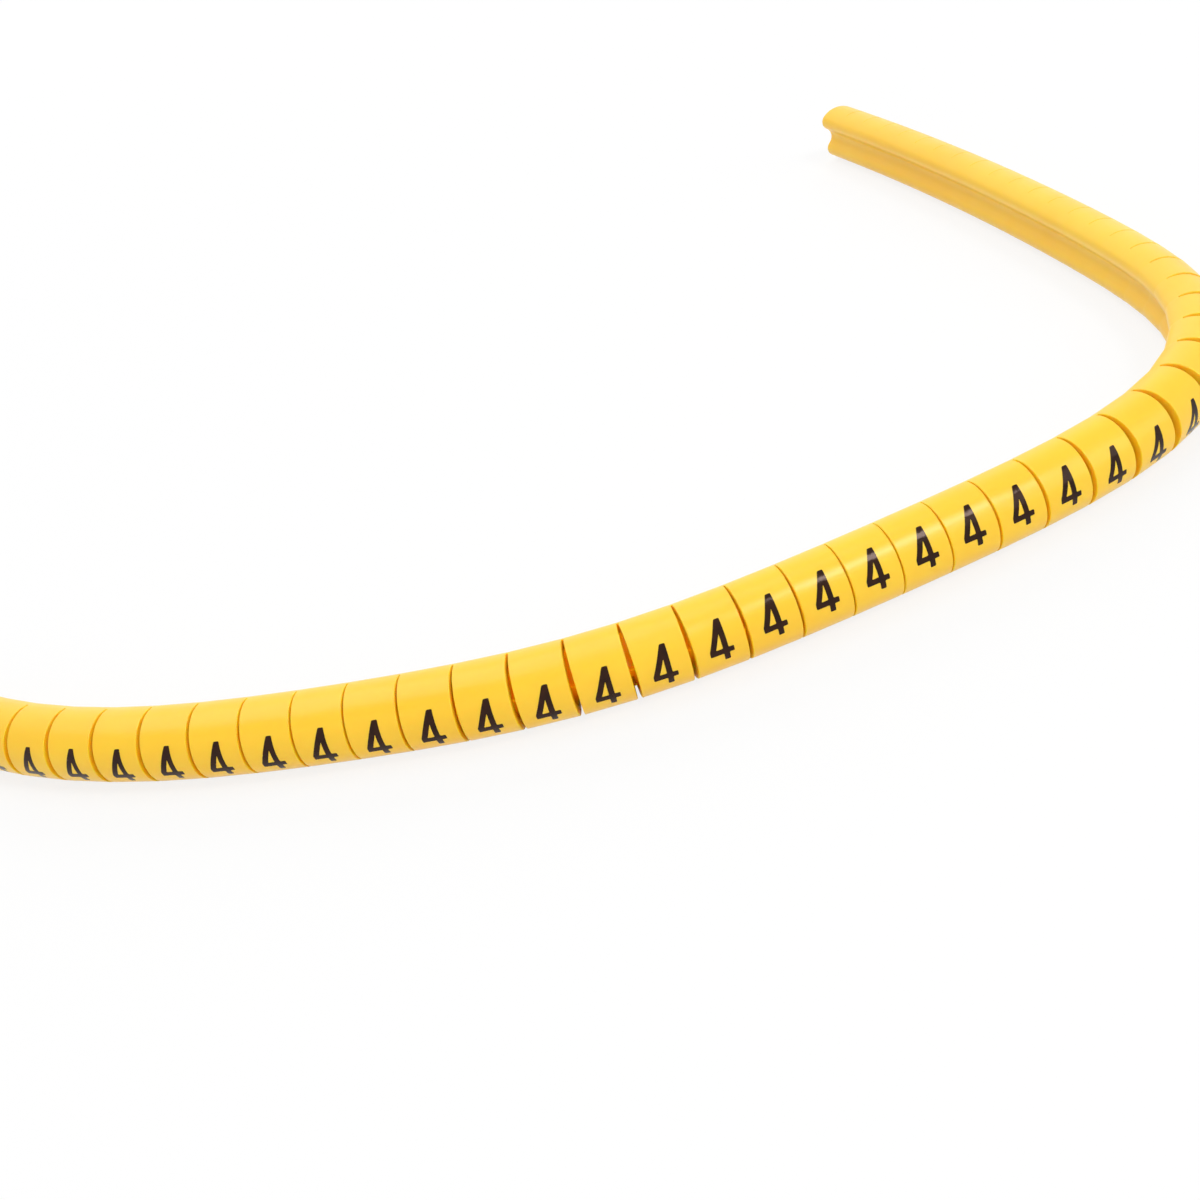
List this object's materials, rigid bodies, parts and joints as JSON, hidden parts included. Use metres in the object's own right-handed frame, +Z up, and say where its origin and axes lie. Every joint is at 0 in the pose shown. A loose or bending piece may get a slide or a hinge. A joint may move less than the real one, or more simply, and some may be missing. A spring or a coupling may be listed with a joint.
{
  "type": "cable marker strip",
  "caption": "Curled strip of soft yellow PVC tube, slit into numbered tear-off sleeves, with a grooved back that presses the bore onto a wire.",
  "frame": {"origin": "on the table, under the middle of the box that the curled strip fits in", "axes": "+Z up from the table, +X along the front run of the strip in reading order, -Y out of the front run's crown"},
  "size_m": [0.1224, 0.11, 0.006],
  "materials": {
    "yellow_pvc": "glossy soft PVC, extruded, in warm yellow",
    "black_ink": "glossy black print of one digit on each sleeve"
  },
  "bodies": {
    "root": {"marker_strip": "yellow_pvc"}
  },
  "joints": []
}
